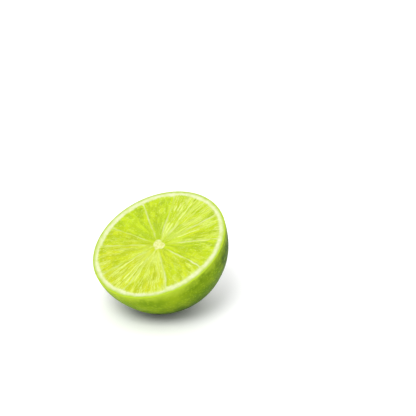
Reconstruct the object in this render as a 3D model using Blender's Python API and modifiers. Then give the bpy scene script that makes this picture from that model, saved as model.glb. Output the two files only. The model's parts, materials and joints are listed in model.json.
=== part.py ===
# Half of a lime, cut straight across its middle, resting on its peel.
#
# A cut lime is one piece, so it is one closed solid: a flat cut face, the round cheek of the fruit, and the
# blunt nipple at the blossom end inside its shallow ring furrow. Set down on its peel, such a half rolls over
# until the cheek and the nipple both touch the surface. That tilt is worked out here from the outline.
#
# Metres, +Z up. The origin is the middle of the object's box, on the surface it rests on, and the cut face
# leans towards -Y.

import math

import bmesh
import bpy
from mathutils import Matrix, Vector

# Driving dimensions
CUT_RADIUS = 0.0275  # from the core to the outside of the peel, at the cut
CHEEK_DEPTH = 0.0298  # from the cut to the blossom end, as if it had no nipple
CHEEK_FULLNESS = 1.92  # 2 makes the cheek an ellipse, less draws it to a point, more squares it off
NIPPLE_HEIGHT = 0.0024  # how far the nipple stands out of the cheek
NIPPLE_RADIUS = 0.0040  # where the nipple has fallen to about a third of its height
FURROW_DEPTH = 0.0006  # the dip all round the nipple
FURROW_RADIUS = 0.0088  # from the axis to the bottom of the furrow
FURROW_WIDTH = 0.0032  # from the bottom of the furrow to its edge
EDGE_ROUND = 0.0003  # how much the knife leaves off the sharp edge of the peel

# Fineness of the solid
OUTLINE_POINTS = 44  # along the outline, from the nipple's tip to the cut
TIP_CROWDING = 1.35  # 1 spaces them evenly, more draws them towards the tip, where the outline bends most
TURN_STEPS = 74  # twice an odd number, so that a flat of the cheek lies lowest and not a corner
MERGE_DISTANCE = 0.00001
STEEPEST_TILT = math.radians(60)  # the search for the resting tilt goes from level to this
HALVINGS = 40  # how often that search halves its range

PEEL_COLOUR = (0.30, 0.47, 0.05, 1.0)
PEEL_ROUGHNESS = 0.35


def reach(angle):
    """Distance from the middle of the cut face to the skin, at an angle from the fruit's axis."""
    along = math.cos(angle) / CHEEK_DEPTH
    across = math.sin(angle) / CUT_RADIUS
    cheek = (along**CHEEK_FULLNESS + across**CHEEK_FULLNESS) ** (-1 / CHEEK_FULLNESS)
    off_axis = cheek * math.sin(angle)
    nipple = NIPPLE_HEIGHT * math.exp(-((off_axis / NIPPLE_RADIUS) ** 2))
    furrow = FURROW_DEPTH * math.exp(-(((off_axis - FURROW_RADIUS) / FURROW_WIDTH) ** 2))
    return cheek + nipple - furrow


def outline():
    """(radius, depth below the cut) down the skin, from the edge of the cut to the nipple's tip."""
    points = [(CUT_RADIUS - EDGE_ROUND, 0.0)]
    edge_angle = math.pi / 2 - math.atan(EDGE_ROUND / CUT_RADIUS)
    for step in range(OUTLINE_POINTS):
        share = step / (OUTLINE_POINTS - 1)
        angle = edge_angle * (1 - share) ** TIP_CROWDING
        points.append((reach(angle) * math.sin(angle), reach(angle) * math.cos(angle)))
    points[-1] = (0.0, reach(0.0))
    return points


def lowest(points, tilt):
    """How far below the middle of the cut face the lowest of these points comes, at that tilt."""
    across_flat = math.cos(math.pi / TURN_STEPS)
    return max(r * across_flat * math.sin(tilt) + d * math.cos(tilt) for r, d in points)


def resting_tilt(points):
    """The tilt from level at which the cheek and the nipple touch the surface together."""
    cheek = [p for p in points if p[0] > FURROW_RADIUS]
    nipple = [p for p in points if p[0] <= FURROW_RADIUS]
    low, high = 0.0, STEEPEST_TILT
    for _ in range(HALVINGS):
        middle = (low + high) / 2
        if lowest(nipple, middle) > lowest(cheek, middle):
            low = middle
        else:
            high = middle
    return (low + high) / 2


def peel_material():
    material = bpy.data.materials.new("lime_peel")
    material.use_nodes = True
    shader = material.node_tree.nodes["Principled BSDF"]
    shader.inputs["Base Color"].default_value = PEEL_COLOUR
    shader.inputs["Roughness"].default_value = PEEL_ROUGHNESS
    shader.inputs["Metallic"].default_value = 0.0
    return material


def turned(name, points, collection):
    """A solid turned about Z from an outline that starts and ends on the axis."""
    mesh = bpy.data.meshes.new(name)
    sketch = bmesh.new()
    corners = [sketch.verts.new((radius, 0.0, -depth)) for radius, depth in points]
    for first, second in zip(corners, corners[1:]):
        sketch.edges.new((first, second))
    sketch.to_mesh(mesh)
    sketch.free()

    solid = bpy.data.objects.new(name, mesh)
    collection.objects.link(solid)
    turn = solid.modifiers.new("turn", "SCREW")
    turn.axis = "Z"
    turn.steps = TURN_STEPS
    turn.render_steps = TURN_STEPS
    turn.use_merge_vertices = True
    turn.merge_threshold = MERGE_DISTANCE
    turn.use_smooth_shade = True
    return solid


def set_down(solid, tilt):
    """Leans the solid's +Z towards -Y, and puts its box's bottom centre at the origin."""
    solid.rotation_euler = (tilt, 0.0, 0.0)
    bpy.context.view_layer.update()
    shape = solid.evaluated_get(bpy.context.evaluated_depsgraph_get())
    leaning = Matrix.Rotation(tilt, 4, "X")
    places = [leaning @ vertex.co for vertex in shape.data.vertices]
    least = Vector(min(place[k] for place in places) for k in range(3))
    most = Vector(max(place[k] for place in places) for k in range(3))
    solid.location = (-(least.x + most.x) / 2, -(least.y + most.y) / 2, -least.z)


def main():
    for old in list(bpy.data.objects):
        bpy.data.objects.remove(old)
    collection = bpy.data.collections.new("lime_half")
    bpy.context.scene.collection.children.link(collection)

    skin = outline()
    lime = turned("lime_half", [(0.0, 0.0)] + skin, collection)
    lime.data.materials.append(peel_material())
    tilt = resting_tilt(skin)
    set_down(lime, tilt)
    bpy.context.view_layer.update()
    print(f"tilt {math.degrees(tilt):.4f} degrees")
    print("middle of the cut face", [round(v, 6) for v in lime.matrix_world.translation])


main()
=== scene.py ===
# Half a fresh lime, cut straight across and lying on its peel.
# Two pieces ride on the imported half: the peel (green rind over white pith) and the flesh (juice sacs in
# their segments, the skins between them, and the core). Shapes are worked out in millimetres in the cut
# face's own frame: x across, y up its slope, depth downwards from the cut. They are put in place last.
import json
import math

import bpy
import numpy as np
from mathutils import Matrix, Vector


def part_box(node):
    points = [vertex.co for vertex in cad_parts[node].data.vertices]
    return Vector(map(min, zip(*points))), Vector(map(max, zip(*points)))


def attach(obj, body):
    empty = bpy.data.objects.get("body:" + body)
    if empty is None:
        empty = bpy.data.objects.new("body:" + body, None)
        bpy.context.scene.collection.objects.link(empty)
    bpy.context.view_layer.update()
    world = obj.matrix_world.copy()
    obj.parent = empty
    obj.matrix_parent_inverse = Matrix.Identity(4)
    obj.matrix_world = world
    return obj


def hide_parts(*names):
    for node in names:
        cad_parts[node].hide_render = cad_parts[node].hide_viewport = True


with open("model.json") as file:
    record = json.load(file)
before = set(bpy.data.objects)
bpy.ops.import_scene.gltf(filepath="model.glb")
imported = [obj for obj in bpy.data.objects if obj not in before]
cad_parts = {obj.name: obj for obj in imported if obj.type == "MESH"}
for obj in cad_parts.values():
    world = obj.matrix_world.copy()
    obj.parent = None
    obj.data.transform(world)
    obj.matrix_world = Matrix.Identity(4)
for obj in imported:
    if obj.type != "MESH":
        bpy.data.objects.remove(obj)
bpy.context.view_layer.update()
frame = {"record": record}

mm = 0.001
cutMount = frame["record"]["mounts"][0]
faceMiddle = np.array(cutMount["pos_m"]) / mm
faceUp = np.array(cutMount["axis"]) / np.linalg.norm(cutMount["axis"])
faceX = np.array([1.0, 0.0, 0.0])
faceY = np.cross(faceUp, faceX)
boxLow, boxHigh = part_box("lime_half")
cutRadius = (boxHigh[0] - boxLow[0]) / 2 / mm
print("frame loaded, cut radius", round(cutRadius, 2), "mm")


def smooth(low, high, value):
    # 0 below low, 1 above high, and 3t^2 - 2t^3 between them
    t = np.clip((value - low) / (high - low), 0, 1)
    return t * t * (3 - 2 * t)


def roundedMin(first, second, radius):
    # the smaller of two distances, with the corner between them rounded off: radius - hypot(radius - each)
    corner = radius - np.hypot(np.maximum(radius - first, 0), np.maximum(radius - second, 0))
    return np.where((first < radius) & (second < radius), corner, np.minimum(first, second))


def latticeNoise(points, size, seed):
    # random values on a cubic lattice of that size in mm, blended smoothly between its corners; about -1 to 1
    cell = np.floor(points / size).astype(np.int64)
    t = points / size - cell
    t = t * t * (3 - 2 * t)
    total = np.zeros(len(points))
    for corner in np.ndindex(2, 2, 2):
        share = np.prod(np.where(corner, t, 1 - t), axis=1)
        total += share * scatter(cell + corner, seed)
    return total * 2 - 1


def scatter(cells, seed):
    # one repeatable random number from 0 to 1 for each whole-numbered cell: the broken part of a large sine
    mixed = cells @ np.array([12.9898, 78.233, 37.719]) + seed * 4.1337
    return np.modf(np.abs(np.sin(mixed) * 43758.5453))[0]


def glandDistance(points, spacing, seed):
    # distance in mm to the nearest of many centres, one placed at random in each cell of a cubic lattice and
    # at least 0.15 of a cell from its walls
    cell = np.floor(points / spacing).astype(np.int64)
    nearest = np.full(len(points), 1e9)
    for step in np.ndindex(3, 3, 3):
        other = cell + np.array(step) - 1
        jitter = np.stack([scatter(other, seed + k) for k in range(3)], axis=1)
        centre = (other + 0.15 + 0.7 * jitter) * spacing
        nearest = np.minimum(nearest, np.linalg.norm(points - centre, axis=1))
    return nearest


def discGrid(steps):
    # a square grid laid on a round disc: the larger of |x| and |y| becomes the radius, and the smaller over
    # the larger becomes an eighth-turn, so there is no crowded point in the middle
    side = np.linspace(-1, 1, steps + 1)
    x, y = np.meshgrid(side, side)
    x, y = x.ravel(), y.ravel()
    flat = np.abs(x) >= np.abs(y)
    large = np.where(flat, x, y)
    small = np.where(flat, y, x)
    ratio = np.divide(small, large, out=np.zeros_like(small), where=large != 0)
    turn = np.where(flat, ratio, 2 - ratio) * math.pi / 4
    turn = turn + np.where(large < 0, math.pi, 0)
    index = np.arange((steps + 1) ** 2).reshape(steps + 1, steps + 1)
    faces = np.stack([index[:-1, :-1], index[:-1, 1:], index[1:, 1:], index[1:, :-1]], axis=-1).reshape(-1, 4)
    edge = np.concatenate([index[0, :-1], index[:-1, -1], index[-1, :0:-1], index[:0:-1, 0]])
    return np.abs(large), turn, faces, edge


def ringFaces(outer, inner):
    # quads between two rings of point numbers
    return np.stack([outer, np.roll(outer, -1), np.roll(inner, -1), inner], axis=-1)


def inPlace(x, y, depth):
    # from the cut face's own frame in mm to the world in metres
    local = x[:, None] * faceX + y[:, None] * faceY - depth[:, None] * faceUp
    return (faceMiddle + local) * mm


def newPiece(name, points, faces, values, material):
    # a closed mesh whose place is in its points, with one named value per point for each entry of values;
    # only edges that turn more than 75 degrees stay crisp
    mesh = bpy.data.meshes.new(name)
    mesh.from_pydata(points.tolist(), [], faces)
    mesh.update()
    for label, numbers in values.items():
        if numbers.ndim == 2:
            mesh.attributes.new(label, "FLOAT_VECTOR", "POINT").data.foreach_set("vector", numbers.ravel())
        else:
            mesh.attributes.new(label, "FLOAT", "POINT").data.foreach_set("value", numbers)
    mesh.shade_smooth()
    mesh.set_sharp_from_angle(angle=math.radians(75))
    mesh.materials.append(material)
    piece = bpy.data.objects.new(name, mesh)
    bpy.context.scene.collection.objects.link(piece)
    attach(piece, "root")
    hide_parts("lime_half")
    print(name, len(mesh.vertices), "points,", sum(len(f) - 2 for f in faces), "triangles")
    return piece


def toLinear(hexColour):
    # sRGB hex to the linear colour that shaders work in
    parts = [int(hexColour[k:k + 2], 16) / 255 for k in (1, 3, 5)]
    return tuple(p / 12.92 if p <= 0.04045 else ((p + 0.055) / 1.055) ** 2.4 for p in parts) + (1.0,)


def addNode(tree, kind, settings, links=None):
    # settings name a property or an input (a number is an input's place); links feed inputs from outputs
    node = tree.nodes.new("ShaderNode" + kind)
    for name, value in settings.items():
        if isinstance(name, int) or name in node.inputs:
            node.inputs[name].default_value = value
        else:
            setattr(node, name, value)
    for name, source in (links or {}).items():
        tree.links.new(source, node.inputs[name])
    return node


def newMaterial(name):
    material = bpy.data.materials.new(name)
    material.use_nodes = True
    return material, material.node_tree, material.node_tree.nodes["Principled BSDF"]


peel = dict(
    cheekDepth=29.8,  # cut to blossom end, without the nipple
    cheekFullness=1.92,  # 2 would be an ellipse
    nippleHeight=2.4,
    nippleRadius=4.0,
    furrowDepth=0.6,
    furrowRadius=8.8,
    furrowWidth=3.2,
    thickness=2.0,  # of the peel piece at the cut; the rest of the pith is on the flesh piece
    pithSink=0.05,  # how far the cut pith shrinks below the rim
    pithFibre=0.04,
    lip=0.35,  # how far the flesh piece laps over the peel piece
    lipDrop=0.015,  # the peel piece passes under that lip, then falls away
    lipFall=0.6,
    edgeRound=0.3,
    glandSpacing=1.25,
    glandDepth=0.1,
    glandSlope=(0.1, 0.62),  # shares of the spacing where a gland's dimple starts to rise and where it ends
    unevenness=0.16,
    scarRadius=1.1,
    scarDepth=0.25,
    scarWrinkles=0.12,
    paintedShadeTurn=38,  # degrees, the way that the cheek with the painted shade faces
    paintedShadeTurned=(0.62, 1.02),  # the painted shade starts and is full here; 1 is straight towards that side
    paintedShadeBelow=(0.3, 5.0),  # and here, in mm below the cut
    paintedEndShade=0.95,  # how dark the painted shade at the blossom end is, as a share of the same green
    paintedEndShadeBelow=(7, 19),  # mm below the cut
    paintedGlowBelow=(-0.8, 4.6),  # the painted glow under the cut is full and is gone here, in mm below the cut
    paintedGlowLost=0.7,  # the share of the painted glow that the cheek with the painted shade loses
    green="#5a7c04",
    cloudGreen="#869f12",
    # the colour of the painted shade
    paintedShadeGreen="#2e4c00",
    glandGreen="#94ac26",
    # the colour of the painted glow under the cut
    paintedGlowGreen="#a4bc30",
    scarBrown="#8a7440",
    rimGreen="#9ab42c",
    pithWhite="#cdd3a6",
    pithPatch="#bac86e",
    gridSteps=260,
    cornerRings=3,
    cutRings=13,
    wallRings=7,
    wallEnds=0.25,  # radians from the fruit's axis, where the hidden wall closes
)


def skinReach(turnDown):
    # from the middle of the cut to the skin, at an angle from the fruit's axis: a superellipse, plus a bell
    # for the nipple, less a bell-shaped furrow round it
    cheek = (np.abs(np.cos(turnDown) / peel["cheekDepth"]) ** peel["cheekFullness"]
             + np.abs(np.sin(turnDown) / cutRadius) ** peel["cheekFullness"]) ** (-1 / peel["cheekFullness"])
    offAxis = cheek * np.sin(turnDown)
    nipple = peel["nippleHeight"] * np.exp(-(offAxis / peel["nippleRadius"]) ** 2)
    furrow = peel["furrowDepth"] * np.exp(-((offAxis - peel["furrowRadius"]) / peel["furrowWidth"]) ** 2)
    return cheek + nipple - furrow


def pithLevel(x, y):
    # height of the cut pith over the plane of the cut: a small sink, with fibres 0.5 mm across
    fibre = latticeNoise(np.stack([x, y, np.zeros(len(x))], axis=1), 0.5, 21)
    return -peel["pithSink"] - peel["pithFibre"] * fibre


def pithColour(tree, place):
    # spongy pith: white, with greener patches about 3 mm across (1 / 330 m) and finer ones inside them
    patches = addNode(tree, "TexNoise", {"Scale": 330.0, "Detail": 4.0, "Roughness": 0.6}, {"Vector": place})
    share = addNode(tree, "MapRange", {"From Min": 0.42, "From Max": 0.68, "To Max": 0.8},
                    {"Value": patches.outputs["Fac"]})
    white, patch = toLinear(peel["pithWhite"]), toLinear(peel["pithPatch"])
    mixed = addNode(tree, "Mix", {"data_type": "RGBA", 6: white, 7: patch}, {0: share.outputs["Result"]})
    return mixed.outputs[2]


def buildPeel(material):
    # the skin: reach along each direction from the cut's middle, plus slow swellings 14 and 6 mm across, less
    # a dimple at each gland and a wrinkled scar at the blossom end; size in mm and seed follow each noise
    share, turn, faces, edge = discGrid(peel["gridSteps"])
    edgeAngle = math.pi / 2 - math.atan(peel["edgeRound"] / cutRadius)
    turnDown = edgeAngle * share
    across = np.sin(turnDown)
    direction = np.stack([across * np.cos(turn), across * np.sin(turn), np.cos(turnDown)], axis=1)
    reach = skinReach(turnDown)
    ball = direction * reach[:, None]
    fadeAtCut = smooth(0.0, 3.0, ball[:, 2])
    slow = latticeNoise(ball, 14, 3) + 0.5 * latticeNoise(ball, 6, 5)
    toGland = glandDistance(ball, peel["glandSpacing"], 11) / peel["glandSpacing"]
    gland = 1 - smooth(*peel["glandSlope"], toGland)
    tip = np.linalg.norm(ball[:, :2], axis=1)
    scar = 1 - smooth(peel["scarRadius"] * 0.75, peel["scarRadius"] * 1.1,
                      tip + 0.25 * latticeNoise(ball, 0.7, 8))
    reach = (reach + peel["unevenness"] * slow * fadeAtCut - peel["glandDepth"] * gland * (1 - scar)
             - peel["scarDepth"] * scar + peel["scarWrinkles"] * scar * latticeNoise(ball, 0.45, 9))
    skin = direction * reach[:, None]
    points = [inPlace(skin[:, 0], skin[:, 1], skin[:, 2])]
    depthInPeel = [np.zeros(len(skin))]

    # painted shade: a darker green on one cheek, and towards the blossom end at the bottom
    towardsPaintedShade = across * np.cos(turn - math.radians(peel["paintedShadeTurn"]))
    mottle = latticeNoise(ball, 1.5, 14)
    towardsPaintedShade += 0.12 * latticeNoise(ball, 9, 12) + 0.06 * latticeNoise(ball, 3, 13) + 0.1 * mottle
    paintedShadeOnCheek = smooth(*peel["paintedShadeTurned"], towardsPaintedShade) * smooth(*peel["paintedShadeBelow"], skin[:, 2])
    paintedShadeAtEnd = peel["paintedEndShade"] * smooth(*peel["paintedEndShadeBelow"], skin[:, 2] + 1.5 * mottle)
    paintedShade = 1 - (1 - paintedShadeOnCheek) * (1 - paintedShadeAtEnd)
    # painted glow: a brighter yellow-green just under the cut, standing in for light that comes in through
    # the pith; less of it on the painted shade
    paintedGlow = 1 - smooth(*peel["paintedGlowBelow"], skin[:, 2] + 0.9 * mottle)
    paintedGlow = paintedGlow * (1 - peel["paintedGlowLost"] * smooth(0.3, 0.95, towardsPaintedShade))

    # rings from the skin's edge over the rounded corner, across the cut, and down the hidden inner wall
    edgeTurn = turn[edge]
    count = len(edge)
    innerRadius = cutRadius - peel["thickness"]
    bend = np.linspace(0, math.pi / 2, peel["cornerRings"] + 1)[1:]
    corner = [(cutRadius - peel["edgeRound"] * (1 - math.cos(b)), peel["edgeRound"] * (1 - math.sin(b)))
              for b in bend]
    cut = [(r, 0.0) for r in np.linspace(corner[-1][0], innerRadius, peel["cutRings"] + 1)[1:]]
    wallTurn = np.linspace(math.pi / 2, peel["wallEnds"], peel["wallRings"] + 1)[1:]
    wallReach = skinReach(wallTurn) * (1 - peel["thickness"] / cutRadius)
    wall = [(r * math.sin(t), r * math.cos(t)) for r, t in zip(wallReach, wallTurn)]
    faces = faces[:, ::-1].tolist()  # outwards, which is downwards here
    last = edge
    used = len(skin)
    for ring, (radius, depth) in enumerate(corner + cut + wall):
        onCut = len(corner) <= ring < len(corner) + len(cut)
        x, y = radius * np.cos(edgeTurn), radius * np.sin(edgeTurn)
        inward = cutRadius - radius
        sink = np.full(count, float(depth))
        if onCut:
            # level at the rim, pith from about 0.5 to 1.1 mm in, then down under the lip
            toLip = inward - peel["thickness"] + peel["lip"]
            sink = peel["lipDrop"] * smooth(-0.4, 0.0, toLip) - pithLevel(x, y) * smooth(0.5, 1.1, inward)
            sink += peel["lipFall"] * smooth(0.0, peel["lip"], toLip)
        points.append(inPlace(x, y, sink))
        depthInPeel.append(np.full(count, min(inward, peel["thickness"])))
        here = np.arange(used, used + count)
        faces += ringFaces(last, here).tolist()
        last = here
        used += count
    points.append(inPlace(np.zeros(1), np.zeros(1), np.array([wallReach[-1]])))
    faces += np.stack([last, np.roll(last, -1), np.full(count, used)], axis=-1).tolist()
    depthInPeel.append(np.full(1, peel["thickness"]))
    points = np.concatenate(points)
    points[:, 2] = np.maximum(points[:, 2], 0.00001)  # nothing goes below the table
    rest = len(points) - len(skin)
    # the values carry the painted shade and the painted glow to the material
    values = dict(depthInPeel=np.concatenate(depthInPeel), gland=np.pad(gland, (0, rest)),
                  scar=np.pad(scar, (0, rest)), paintedShade=np.pad(paintedShade, (0, rest)),
                  paintedGlow=np.pad(paintedGlow, (0, rest), constant_values=1.0))
    return newPiece("peel", points, faces, values, material)


def limeRind():
    # Lime rind: a thin living skin full of round oil glands under its own wax, over spongy white pith.
    # To the eye it is a deep yellow-green with paler dots and a soft sheen. A bright yellow-green glow just
    # below the cut, where light comes in through the pith, is painted into its colour, as is a darker shade
    # on one cheek and at the blossom end.
    material, tree, shader = newMaterial("limeRind")
    place = addNode(tree, "TexCoord", {}).outputs["Object"]
    depth = addNode(tree, "Attribute", {"attribute_name": "depthInPeel"}).outputs["Fac"]
    gland = addNode(tree, "Attribute", {"attribute_name": "gland"}).outputs["Fac"]
    scar = addNode(tree, "Attribute", {"attribute_name": "scar"}).outputs["Fac"]
    paintedGlow = addNode(tree, "Attribute", {"attribute_name": "paintedGlow"}).outputs["Fac"]

    # clouds of paler green about 11 mm across
    cloud = addNode(tree, "TexNoise", {"Scale": 90.0, "Detail": 3.0, "Roughness": 0.55}, {"Vector": place})
    cloudy = addNode(tree, "MapRange", {"From Min": 0.36, "From Max": 0.66}, {"Value": cloud.outputs["Fac"]})
    green, cloudGreen = toLinear(peel["green"]), toLinear(peel["cloudGreen"])
    clouded = addNode(tree, "Mix", {"data_type": "RGBA", 6: green, 7: cloudGreen},
                      {0: cloudy.outputs["Result"]})
    # painted shade: a darker green on one cheek and at the blossom end
    paintedShade = addNode(tree, "Attribute", {"attribute_name": "paintedShade"}).outputs["Fac"]
    withPaintedShade = addNode(tree, "Mix", {"data_type": "RGBA", 7: toLinear(peel["paintedShadeGreen"])},
                     {0: paintedShade, 6: clouded.outputs[2]})
    spots = addNode(tree, "MapRange", {"From Min": 0.3, "From Max": 0.95}, {"Value": gland})
    # the gland dots show less where the painted shade is
    plain = addNode(tree, "MapRange", {"To Min": 0.6, "To Max": 0.22}, {"Value": paintedShade})
    dots = addNode(tree, "Math", {"operation": "MULTIPLY"},
                   {0: spots.outputs["Result"], 1: plain.outputs["Result"]})
    dotted = addNode(tree, "Mix", {"data_type": "RGBA", 7: toLinear(peel["glandGreen"])},
                     {0: dots.outputs[0], 6: withPaintedShade.outputs[2]})
    # painted glow: a brighter yellow-green just under the cut
    withPaintedGlow = addNode(tree, "Mix", {"data_type": "RGBA", 7: toLinear(peel["paintedGlowGreen"])},
                  {0: paintedGlow, 6: dotted.outputs[2]})
    scarred = addNode(tree, "Mix", {"data_type": "RGBA", 7: toLinear(peel["scarBrown"])},
                      {0: scar, 6: withPaintedGlow.outputs[2]})

    # on the cut: pale green rind, then white pith with a ragged edge, its notches about 2.4 mm apart
    ragged = addNode(tree, "TexNoise", {"Scale": 420.0, "Detail": 2.0}, {"Vector": place})
    shift = addNode(tree, "MapRange", {"To Min": -0.45, "To Max": 0.45}, {"Value": ragged.outputs["Fac"]})
    edge = addNode(tree, "Math", {"operation": "ADD"}, {0: depth, 1: shift.outputs["Result"]})
    rim = addNode(tree, "MapRange", {"From Min": 0.02, "From Max": 0.6}, {"Value": depth})
    rimmed = addNode(tree, "Mix", {"data_type": "RGBA", 7: toLinear(peel["rimGreen"])},
                     {0: rim.outputs["Result"], 6: scarred.outputs[2]})
    pith = addNode(tree, "MapRange", {"From Min": 0.4, "From Max": 1.5}, {"Value": edge.outputs[0]})
    white = addNode(tree, "Mix", {"data_type": "RGBA"},
                    {0: pith.outputs["Result"], 6: rimmed.outputs[2], 7: pithColour(tree, place)})
    tree.links.new(white.outputs[2], shader.inputs["Base Color"])

    rough = addNode(tree, "MapRange", {"To Min": 0.38, "To Max": 0.6}, {"Value": pith.outputs["Result"]})
    tree.links.new(rough.outputs["Result"], shader.inputs["Roughness"])
    # skin grain about 0.4 mm across
    fine = addNode(tree, "TexNoise", {"Scale": 2600.0, "Detail": 3.0}, {"Vector": place})
    bump = addNode(tree, "Bump", {"Strength": 0.25, "Distance": 0.00005}, {"Height": fine.outputs["Fac"]})
    tree.links.new(bump.outputs["Normal"], shader.inputs["Normal"])
    shader.inputs["IOR"].default_value = 1.45
    shader.inputs["Specular IOR Level"].default_value = 0.015  # far below wax, or the white room greys it
    # light spreads under the skin, less and less towards the meeting with the flesh piece
    soft = addNode(tree, "MapRange", {"From Min": 0.0, "From Max": 0.5, "To Min": 0.45, "To Max": 0.0},
                   {"Value": depth})
    tree.links.new(soft.outputs["Result"], shader.inputs["Subsurface Weight"])
    shader.inputs["Subsurface Radius"].default_value = (0.9, 1.0, 0.4)
    shader.inputs["Subsurface Scale"].default_value = 0.001
    return material


flesh = dict(
    coreX=0.7,
    coreY=-0.8,
    # one value for each skin: where it runs out to the pith, in degrees, how pale it is, how wide it is in
    # mm, and how far from the core's middle the core ends there
    skinsAt=[28, 58, 86, 112, 143, 180, 202, 239, 272, 316, 353],
    skinPaleness=[0.5, 0.55, 0.55, 0.45, 0.8, 0.35, 0.4, 0.5, 0.5, 0.5, 0.7],
    skinWidths=[0.28, 0.36, 0.36, 0.30, 0.36, 0.20, 0.20, 0.30, 0.30, 0.24, 0.24],
    coreReach=[2.3, 1.7, 1.5, 2.1, 2.6, 2.5, 2.1, 1.9, 2.2, 1.9, 2.8],
    # one value for the segment after each skin: how far it reaches from the cut's middle, how streaky it is,
    # and how ripe (0 is greener, 1 yellower)
    pulpReach=[25.4, 25.4, 25.5, 25.1, 24.75, 24.65, 25.4, 25.5, 25.6, 24.95, 25.2],
    streaks=[0.75, 0.8, 0.9, 0.4, 0.25, 0.3, 0.7, 0.85, 0.95, 0.45, 0.35],
    ripeness=[0.35, 0.25, 0.2, 0.05, 0.1, 0.6, 0.8, 1.0, 0.85, 0.5, 0.3],
    # single pale sacs: where each lies in degrees, its ends in mm from the core, and its width in mm
    paleSacs=[(27, 17.2, 21.4, 0.8), (98, 17.5, 20.8, 0.5), (101.5, 17.8, 21.2, 0.5),
              (105.5, 17.6, 20.4, 0.5), (90, 14, 23, 0.5), (84, 6.5, 12, 0.5), (96, 6, 11.5, 0.45),
              (104, 7, 12, 0.4), (262, 12, 20, 0.5), (268, 9, 21, 0.45), (277, 13, 19.5, 0.45),
              (245, 11, 18, 0.45), (48, 8, 17, 0.45)],
    cornerRound=1.7,  # of each segment's corners at the pith, and of its tip at the core
    tipRound=0.5,
    scallop=0.2,  # how far the pith reaches in between the ends of the sacs
    crown=0.18,  # how far a segment swells above the cut
    unevenness=0.05,
    skinFibre=0.03,
    sacUnevenness=0.07,
    seed=7,
    sacTries=9000,  # places tried for the sacs of one segment
    sacRounds=5,  # times that they are evened out
    sacsFrom=1.6,  # mm from the core
    sacsTo=25.3,
    sacLengthInside=2.4,  # half lengths and half widths of the juice sacs, near the core and near the pith
    sacLengthOutside=1.3,
    sacWidthInside=0.34,
    sacWidthOutside=0.60,
    sacWall=0.24,  # each side of the line between two sacs
    sacBlend=0.3,  # how near that line a sac's values start to blend into its neighbour's
    sacRelief=0.13,
    grainRadius=14,  # the pattern along the sacs is true to size at this distance from the core
    greenJuice=("#8ba506", "#b6cc16"),  # darker and lighter sacs, in greener and in yellower segments
    yellowJuice=("#99a606", "#c1ca18"),
    fibreGreen="#c0ce46",
    # the colour of the painted glints on the cut sacs
    paintedGlintGreen="#c6d46a",
    streakGreen="#c9d56c",
    paleGreen="#c9d576",
    skinGreen="#afc030",
    coreWhite="#d0d395",
    corePatch="#bbc25a",
    gridSteps=290,
    wallRings=7,
    wallStart=0.02,  # radians below the cut, where the hidden wall starts
    wallGap=0.01,
)


def sacSize(radius, streaky):
    # half length and half width in mm of a juice sac at that distance from the core
    outward = smooth(3, 24, radius)
    length = flesh["sacLengthInside"] + (flesh["sacLengthOutside"] - flesh["sacLengthInside"]) * outward
    width = flesh["sacWidthInside"] + (flesh["sacWidthOutside"] - flesh["sacWidthInside"]) * outward
    return length * (0.85 + 0.5 * streaky), width * (1.2 - 0.45 * streaky)


def sacDistances(x, y, seeds):
    # how far each point lies from each sac's middle, along and across the sac, as shares of its half sizes
    dx, dy = x[:, None] - seeds["x"], y[:, None] - seeds["y"]
    along = (dx * seeds["ux"] + dy * seeds["uy"]) / seeds["length"]
    across = (dy * seeds["ux"] - dx * seeds["uy"]) / seeds["width"]
    return along, across


def aim(x, y, streaky, lean, stretch, swell):
    # a sac points away from the core, give or take a small lean
    length, width = sacSize(np.hypot(x, y), streaky)
    heading = np.arctan2(y, x) + lean
    return dict(x=x, y=y, ux=np.cos(heading), uy=np.sin(heading),
                length=length * stretch, width=width * swell)


def settledSacs(low, high, streaky, random):
    # random sac middles in one segment, evened out by moving each to the mean of the points nearest to it
    count = flesh["sacTries"]
    radius = np.sqrt(random.uniform(flesh["sacsFrom"] ** 2, flesh["sacsTo"] ** 2, count))
    turn = random.uniform(low, high, count)
    length, width = sacSize(radius, streaky)
    crowding = 1 / (length * width)
    keep = random.uniform(0, crowding.max(), count) < crowding
    x, y = (radius * np.cos(turn))[keep], (radius * np.sin(turn))[keep]
    area = (high - low) / 2 * (flesh["sacsTo"] ** 2 - flesh["sacsFrom"] ** 2)
    number = int(area * np.mean(crowding) / 3.4)  # a sac fills 3.4 times the product of its half sizes
    lean = random.normal(0, 0.09, number)  # radians
    stretch = random.uniform(0.75, 1.3, number)
    swell = random.uniform(0.8, 1.25, number)
    seeds = aim(x[:number], y[:number], streaky, lean, stretch, swell)
    for _ in range(flesh["sacRounds"]):
        along, across = sacDistances(x, y, seeds)
        owner = np.argmin(np.hypot(along, across), axis=1)
        owned = np.maximum(np.bincount(owner, minlength=number), 1)
        middleX = np.bincount(owner, x, number) / owned
        middleY = np.bincount(owner, y, number) / owned
        # a middle that no point is nearest to goes to the core, 0.01 mm off it so that it still has a heading
        seeds = aim(middleX + (owned == 1) * 0.01, middleY, streaky, lean, stretch, swell)
    return seeds


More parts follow.
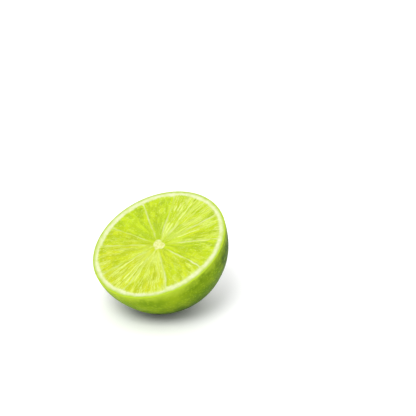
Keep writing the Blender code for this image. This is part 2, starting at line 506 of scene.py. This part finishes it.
def buildFlesh(material):
    share, turn, faces, edge = discGrid(flesh["gridSteps"])
    fleshRadius = cutRadius - peel["thickness"] + peel["lip"]
    x, y = share * fleshRadius * np.cos(turn), share * fleshRadius * np.sin(turn)
    flat = np.stack([x, y, np.zeros(len(x))], axis=1)
    # skins and core are drawn on a plane that wavers a little, so that no line is quite straight
    coreX, coreY = x - flesh["coreX"], y - flesh["coreY"]
    wobbleX = coreX + 0.16 * latticeNoise(flat, 1.7, 31) + 0.3 * latticeNoise(flat, 6.0, 32)
    wobbleY = coreY + 0.16 * latticeNoise(flat, 1.7, 33) + 0.3 * latticeNoise(flat, 6.0, 34)
    radius = np.hypot(wobbleX, wobbleY)
    heading = np.arctan2(wobbleY, wobbleX)

    # the skins between the segments are rays from the core
    skinTurns = np.radians(flesh["skinsAt"])
    off = (heading[:, None] - skinTurns) % (2 * math.pi)
    segment = np.argmin(off, axis=1)
    signed = (off + math.pi) % (2 * math.pi) - math.pi
    toSkin = np.where(np.abs(signed) < math.pi / 2, radius[:, None] * np.abs(np.sin(signed)), radius[:, None])
    nearestSkin = np.argmin(toSkin, axis=1)
    paleness = np.array(flesh["skinPaleness"])[nearestSkin]
    random = np.random.default_rng(flesh["seed"])
    coreEdge = np.interp(np.degrees(heading) % 360, flesh["skinsAt"], flesh["coreReach"], period=360)
    skinHalf = np.array(flesh["skinWidths"])[nearestSkin] / 2 * (1 + 0.5 * latticeNoise(flat, 2.2, 37))

    # juice sacs, segment by segment
    sacTone = np.zeros(len(x))
    sacPale = np.zeros(len(x))
    sacSide = np.zeros(len(x))
    sacSink = np.zeros(len(x))
    toWall = np.ones(len(x))
    grain = np.zeros((len(x), 3))
    for number, low in enumerate(skinTurns):
        high = skinTurns[(number + 1) % len(skinTurns)]
        high += 2 * math.pi * (high < low)
        streaky = flesh["streaks"][number]
        seeds = settledSacs(low, high, streaky, random)
        mine = segment == number
        warpedX = wobbleX[mine] + 0.11 * latticeNoise(flat[mine], 0.7, 41)
        warpedY = wobbleY[mine] + 0.11 * latticeNoise(flat[mine], 0.7, 42)
        along, across = sacDistances(warpedX, warpedY, seeds)
        distance = np.hypot(along, across)
        owner, other = np.argpartition(distance, 1, axis=1)[:, :2].T
        row = np.arange(len(owner))
        near, far = distance[row, owner], distance[row, other]
        ownAlong, ownAcross = np.abs(along[row, owner]), np.abs(across[row, owner])
        slope = np.hypot(ownAlong / seeds["length"][owner], ownAcross / seeds["width"][owner]) / near
        toWall[mine] = (far - near) / (2 * slope)
        sacSide[mine] = ownAcross / (ownAcross + ownAlong + 1e-6)
        # each sac has its own values, which blend halfway to the next sac's at the line between them; about
        # one sac in fourteen is sunk, as if it had lost its juice
        blend = 0.5 - 0.5 * smooth(0.0, flesh["sacBlend"], toWall[mine])
        sacs = len(seeds["x"])
        for kind, own in ((sacTone, random.uniform(0, 1, sacs)), (sacPale, random.uniform(0, 1, sacs)),
                          (sacSink, random.uniform(-1, 1, sacs) - 2.2 * (random.uniform(0, 1, sacs) < 0.07))):
            kind[mine] = own[owner] + (own[other] - own[owner]) * blend
        middle = (low + high) / 2
        lean = (heading[mine] - middle + math.pi) % (2 * math.pi) - math.pi
        # grain is mm across the segment, mm out from the core, and a level of its own for each segment
        level = np.full(mine.sum(), 10.0 * number)
        grain[mine] = np.stack([lean * flesh["grainRadius"], radius[mine], level], axis=1)

    # how far inside its segment each point is; the pith reaches in a little between the ends of the sacs
    fromSkin = toSkin.min(axis=1) - skinHalf * smooth(1.5, 6.0, radius)
    fromPith = (np.array(flesh["pulpReach"])[segment] - np.hypot(x, y) + 0.28 * latticeNoise(flat, 3.3, 35)
                - flesh["scallop"] * (1 - smooth(0.0, 0.5, toWall)))
    fromCore = radius - coreEdge + 0.3 * latticeNoise(flat, 1.0, 36) + 0.12 * latticeNoise(flat, 0.45, 38)
    inPulp = roundedMin(roundedMin(fromSkin, fromPith, flesh["cornerRound"]), fromCore, flesh["tipRound"])

    wall = 1 - smooth(0.02, flesh["sacWall"], toWall * (1 + 0.5 * latticeNoise(flat, 1.5, 43)))
    pulp = smooth(-0.02, 0.2, inPulp)
    body = smooth(0.0, 0.9, inPulp)
    height = (flesh["crown"] * body + pulp * flesh["sacRelief"] * (np.sqrt(np.clip(toWall / 0.5, 0, 1)) - 0.5)
              + pulp * body * flesh["sacUnevenness"] * sacSink
              + flesh["unevenness"] * latticeNoise(flat, 3.5, 51)
              + (1 - pulp) * flesh["skinFibre"] * latticeNoise(flat, 0.5, 52)) - peel["pithSink"]
    onPith = 1 - smooth(0.4, 0.9, fleshRadius - np.hypot(x, y))
    height += (pithLevel(x, y) - height) * onPith

    # walls show pale in drifts, about 1 mm across and 4 mm long, and more of them in the streaky segments
    streaky = np.array(flesh["streaks"])[segment]
    drift = latticeNoise(grain * np.array([1 / 1.1, 1 / 3.8, 1]), 1.0, 44)
    shown = smooth(0.0, 0.6, 0.8 * (sacPale - 0.5) + 0.3 * drift + 0.8 * (streaky - 0.42))
    shown *= smooth(2.5, 6.5, radius + 3.0 * streaky)
    streak = wall * (0.4 + 0.6 * smooth(0.3, 0.7, sacSide)) * shown
    pale = 0.35 * smooth(0.5, 0.95, sacPale) * smooth(0.2, 0.8, streaky + 0.3 * drift)
    bloom = smooth(3.0, 5.0, radius) * (1 - smooth(7.0, 13.0, radius)) * smooth(0.6, 0.9, streaky)
    pale = np.maximum(pale, 0.3 * bloom)
    for turnAt, start, end, width in flesh["paleSacs"]:
        lean = heading - math.radians(turnAt)
        offLine = np.abs(radius * np.sin(lean)) + 0.12 * latticeNoise(flat, 1.3, 45)
        inReach = smooth(start - 0.8, start + 0.8, radius) * (1 - smooth(end - 0.8, end + 0.8, radius))
        onSac = (1 - smooth(width * 0.3, width * 0.8, offLine)) * inReach * (np.cos(lean) > 0)
        pale = np.maximum(pale, onSac)
    core = 1 - smooth(0.0, 0.3, fromCore)
    skinShow = paleness * (0.7 + 0.7 * latticeNoise(flat, 3.2, 46)) * smooth(3.0, 8.0, radius)
    atPith = 1 - smooth(-0.1, 1.2, fromPith)
    pulpShow = smooth(-0.02, 0.3, inPulp) * (1 - 0.65 * atPith)
    values = dict(pulp=pulpShow, tone=sacTone, streak=streak, pale=pale, core=core,
                  skinPale=np.clip(np.maximum(skinShow, 1 - smooth(0.0, 1.0, fromPith)), 0, 1),
                  ripe=np.array(flesh["ripeness"])[segment] + 0.25 * latticeNoise(flat, 5.0, 47),
                  grain=grain, thick=smooth(0.2, 1.8, fleshRadius - np.hypot(x, y)))

    # the hidden side: rings down the inside of the peel, closed at the bottom
    points = [inPlace(x, y, -height)]
    wallTurn = np.linspace(math.pi / 2, peel["wallEnds"], flesh["wallRings"] + 1)
    wallTurn[0] = math.pi / 2 - flesh["wallStart"]
    wallReach = skinReach(wallTurn) * (1 - (peel["thickness"] + flesh["wallGap"]) / cutRadius)
    edgeTurn = turn[edge]
    count = len(edge)
    faces = faces.tolist()
    last = edge
    used = len(x)
    for reach, down in zip(wallReach, wallTurn):
        across = reach * math.sin(down)
        points.append(inPlace(across * np.cos(edgeTurn), across * np.sin(edgeTurn),
                              np.full(count, reach * math.cos(down))))
        here = np.arange(used, used + count)
        faces += ringFaces(last, here)[:, ::-1].tolist()
        last = here
        used += count
    points.append(inPlace(np.zeros(1), np.zeros(1), wallReach[-1:]))
    faces += np.stack([last, np.full(count, used), np.roll(last, -1)], axis=-1).tolist()
    hidden = used + 1 - len(x)
    values = {name: np.concatenate([v, np.zeros((hidden,) + v.shape[1:])]) for name, v in values.items()}
    return newPiece("flesh", np.concatenate(points), faces, values, material)


def limeFlesh():
    # Lime flesh: thin-walled sacs of yellow-green juice, sliced open and wet, between pale papery skins.
    # To the eye it is bright and half clear, with pale streaks where the sac walls are seen edge on, and
    # small glints from the juice, partly real sheen and partly painted highlights as pale specks.
    material, tree, shader = newMaterial("limeFlesh")
    read = {name: addNode(tree, "Attribute", {"attribute_name": name}).outputs["Fac"]
            for name in ("pulp", "tone", "streak", "pale", "core", "skinPale", "ripe", "thick")}
    grain = addNode(tree, "Attribute", {"attribute_name": "grain"}).outputs["Vector"]
    place = addNode(tree, "TexCoord", {}).outputs["Object"]

    # fibres along the sacs: about 0.4 mm across and 3 mm long
    fibreMap = addNode(tree, "Mapping", {"Scale": (2.6, 0.33, 1.0)}, {"Vector": grain})
    fibre = addNode(tree, "TexNoise", {"Scale": 1.0, "Detail": 3.0, "Roughness": 0.6},
                    {"Vector": fibreMap.outputs[0]})
    # clouds in the juice: about 4.5 mm across and 6 mm long
    cloudMap = addNode(tree, "Mapping", {"Scale": (0.22, 0.16, 1.0)}, {"Vector": grain})
    cloud = addNode(tree, "TexNoise", {"Scale": 1.0, "Detail": 2.0}, {"Vector": cloudMap.outputs[0]})
    toneMix = addNode(tree, "Mix", {"data_type": "FLOAT", 0: 0.3}, {2: read["tone"], 3: cloud.outputs["Fac"]})
    darker, lighter = (toLinear(colour) for colour in flesh["greenJuice"])
    green = addNode(tree, "Mix", {"data_type": "RGBA", 6: darker, 7: lighter}, {0: toneMix.outputs[0]})
    darker, lighter = (toLinear(colour) for colour in flesh["yellowJuice"])
    yellow = addNode(tree, "Mix", {"data_type": "RGBA", 6: darker, 7: lighter}, {0: toneMix.outputs[0]})
    juice = addNode(tree, "Mix", {"data_type": "RGBA"},
                    {0: read["ripe"], 6: green.outputs[2], 7: yellow.outputs[2]})
    fibres = addNode(tree, "MapRange", {"From Min": 0.5, "From Max": 0.75, "To Max": 0.5},
                     {"Value": fibre.outputs["Fac"]})
    fibred = addNode(tree, "Mix", {"data_type": "RGBA", 7: toLinear(flesh["fibreGreen"])},
                     {0: fibres.outputs["Result"], 6: juice.outputs[2]})
    # painted highlights: pale specks where the tips of cut sacs catch the light, about 0.4 mm across and 0.9
    # mm long
    paintedGlintMap = addNode(tree, "Mapping", {"Scale": (2.4, 1.1, 1.0), "Location": (3.0, 5.0, 0.0)},
                       {"Vector": grain})
    paintedGlintNoise = addNode(tree, "TexNoise", {"Scale": 1.0, "Detail": 1.0}, {"Vector": paintedGlintMap.outputs[0]})
    paintedGlints = addNode(tree, "MapRange", {"From Min": 0.55, "From Max": 0.72, "To Max": 0.5},
                     {"Value": paintedGlintNoise.outputs["Fac"]})
    withPaintedGlints = addNode(tree, "Mix", {"data_type": "RGBA", 7: toLinear(flesh["paintedGlintGreen"])},
                      {0: paintedGlints.outputs["Result"], 6: fibred.outputs[2]})
    streaked = addNode(tree, "Mix", {"data_type": "RGBA", 7: toLinear(flesh["streakGreen"])},
                       {0: read["streak"], 6: withPaintedGlints.outputs[2]})
    pale = addNode(tree, "Mix", {"data_type": "RGBA", 7: toLinear(flesh["paleGreen"])},
                   {0: read["pale"], 6: streaked.outputs[2]})
    skin = addNode(tree, "Mix", {"data_type": "RGBA", 6: toLinear(flesh["skinGreen"])},
                   {0: read["skinPale"], 7: pithColour(tree, place)})
    withSkins = addNode(tree, "Mix", {"data_type": "RGBA"},
                        {0: read["pulp"], 6: skin.outputs[2], 7: pale.outputs[2]})
    # the core's sponge is finer, about 0.9 mm
    pithNoise = addNode(tree, "TexNoise", {"Scale": 1100.0, "Detail": 3.0, "Roughness": 0.6},
                        {"Vector": place})
    pithPatch = addNode(tree, "MapRange", {"From Min": 0.4, "From Max": 0.7},
                        {"Value": pithNoise.outputs["Fac"]})
    white, patch = toLinear(flesh["coreWhite"]), toLinear(flesh["corePatch"])
    coreColour = addNode(tree, "Mix", {"data_type": "RGBA", 6: white, 7: patch},
                         {0: pithPatch.outputs["Result"]})
    withCore = addNode(tree, "Mix", {"data_type": "RGBA"},
                       {0: read["core"], 6: withSkins.outputs[2], 7: coreColour.outputs[2]})
    tree.links.new(withCore.outputs[2], shader.inputs["Base Color"])

    rough = addNode(tree, "MapRange", {"To Min": 0.5, "To Max": 0.28}, {"Value": read["pulp"]})
    tree.links.new(rough.outputs["Result"], shader.inputs["Roughness"])
    bump = addNode(tree, "Bump", {"Strength": 0.35, "Distance": 0.00008}, {"Height": fibre.outputs["Fac"]})
    tree.links.new(bump.outputs["Normal"], shader.inputs["Normal"])
    shader.inputs["IOR"].default_value = 1.36
    shader.inputs["Specular IOR Level"].default_value = 0.2
    # light spreads through the juice, less and less towards the meeting with the peel piece
    soft = addNode(tree, "MapRange", {"To Max": 0.8}, {"Value": read["thick"]})
    tree.links.new(soft.outputs["Result"], shader.inputs["Subsurface Weight"])
    shader.inputs["Subsurface Radius"].default_value = (0.8, 0.9, 0.45)
    shader.inputs["Subsurface Scale"].default_value = 0.001
    return material


# the camera
view = dict(
    azimuth=39.52,  # degrees round from the front, to the right
    elevation=23.17,
    lens=100,
    faceLeft=19.5,  # mm that the middle of the cut face lies left of and below the middle of the view
    faceBelow=13.54,
    faceAway=452.96,
)


# the white room, and one soft box in front of the fruit
light = dict(
    ceiling=1.3,  # how bright the white room is overhead
    walls=0.5,  # and level with the table
    boxSide=0.52,  # metres
    boxPower=8.7,  # watts
    boxHeight=0.975,  # and its place in metres: above the table, and left of and in front of the fruit
    boxLeft=0.24,
    boxNear=0.83,
    boxAim=0.02,  # metres above the table, about the middle of the fruit
)


def buildStudio():
    scene = bpy.context.scene
    scene.view_settings.view_transform = "Standard"

    camera = bpy.data.objects.new("camera", bpy.data.cameras.new("camera"))
    scene.collection.objects.link(camera)
    camera.data.lens = view["lens"]
    camera.data.sensor_width = 36
    azimuth, elevation = math.radians(view["azimuth"]), math.radians(view["elevation"])
    right = Vector((math.cos(azimuth), math.sin(azimuth), 0))
    back = Vector((math.sin(azimuth) * math.cos(elevation), -math.cos(azimuth) * math.cos(elevation),
                   math.sin(elevation)))
    up = back.cross(right)
    spot = Vector(faceMiddle) + view["faceLeft"] * right + view["faceBelow"] * up + view["faceAway"] * back
    camera.matrix_world = Matrix.Translation(spot * mm) @ Matrix((right, up, back)).transposed().to_4x4()
    scene.camera = camera

    # a white laminate table, which gives a faint sheen; far is in metres
    far = 6.0
    floorMesh = bpy.data.meshes.new("floor")
    corners = [(-far, -far, 0), (far, -far, 0), (far, far, 0), (-far, far, 0)]
    floorMesh.from_pydata(corners, [], [(0, 1, 2, 3)])
    floor = bpy.data.objects.new("floor", floorMesh)
    scene.collection.objects.link(floor)
    material, tree, shader = newMaterial("whiteTable")
    shader.inputs["Base Color"].default_value = toLinear("#ffffff")
    shader.inputs["Roughness"].default_value = 0.7
    shader.inputs["Specular IOR Level"].default_value = 0.2
    floorMesh.materials.append(material)

    # the room is plain white to the camera, but lights the fruit more from overhead than from the sides
    world = bpy.data.worlds.new("studio")
    scene.world = world
    world.use_nodes = True
    tree = world.node_tree
    background = tree.nodes["Background"]
    background.inputs["Color"].default_value = (1, 1, 1, 1)
    way = addNode(tree, "SeparateXYZ", {}, {"Vector": addNode(tree, "TexCoord", {}).outputs["Generated"]})
    room = addNode(tree, "MapRange", {"To Min": light["walls"], "To Max": light["ceiling"]},
                   {"Value": way.outputs["Z"]})
    seen = addNode(tree, "LightPath", {}).outputs["Is Camera Ray"]
    strength = addNode(tree, "Mix", {"data_type": "FLOAT", 3: 1.0}, {0: seen, 2: room.outputs["Result"]})
    tree.links.new(strength.outputs[0], background.inputs["Strength"])

    lamp = bpy.data.lights.new("softbox", "AREA")
    lamp.shape = "RECTANGLE"
    lamp.size = lamp.size_y = light["boxSide"]
    lamp.energy = light["boxPower"]
    softbox = bpy.data.objects.new("softbox", lamp)
    softbox.location = (Vector((0, 0, light["boxHeight"])) - light["boxLeft"] * right
                        + light["boxNear"] * Vector((back.x, back.y, 0)))
    aimed = Vector((0, 0, light["boxAim"])) - softbox.location
    softbox.rotation_euler = aimed.to_track_quat("-Z", "Y").to_euler()
    scene.collection.objects.link(softbox)


buildPeel(limeRind())
buildFlesh(limeFlesh())
buildStudio()
print("studio ready")
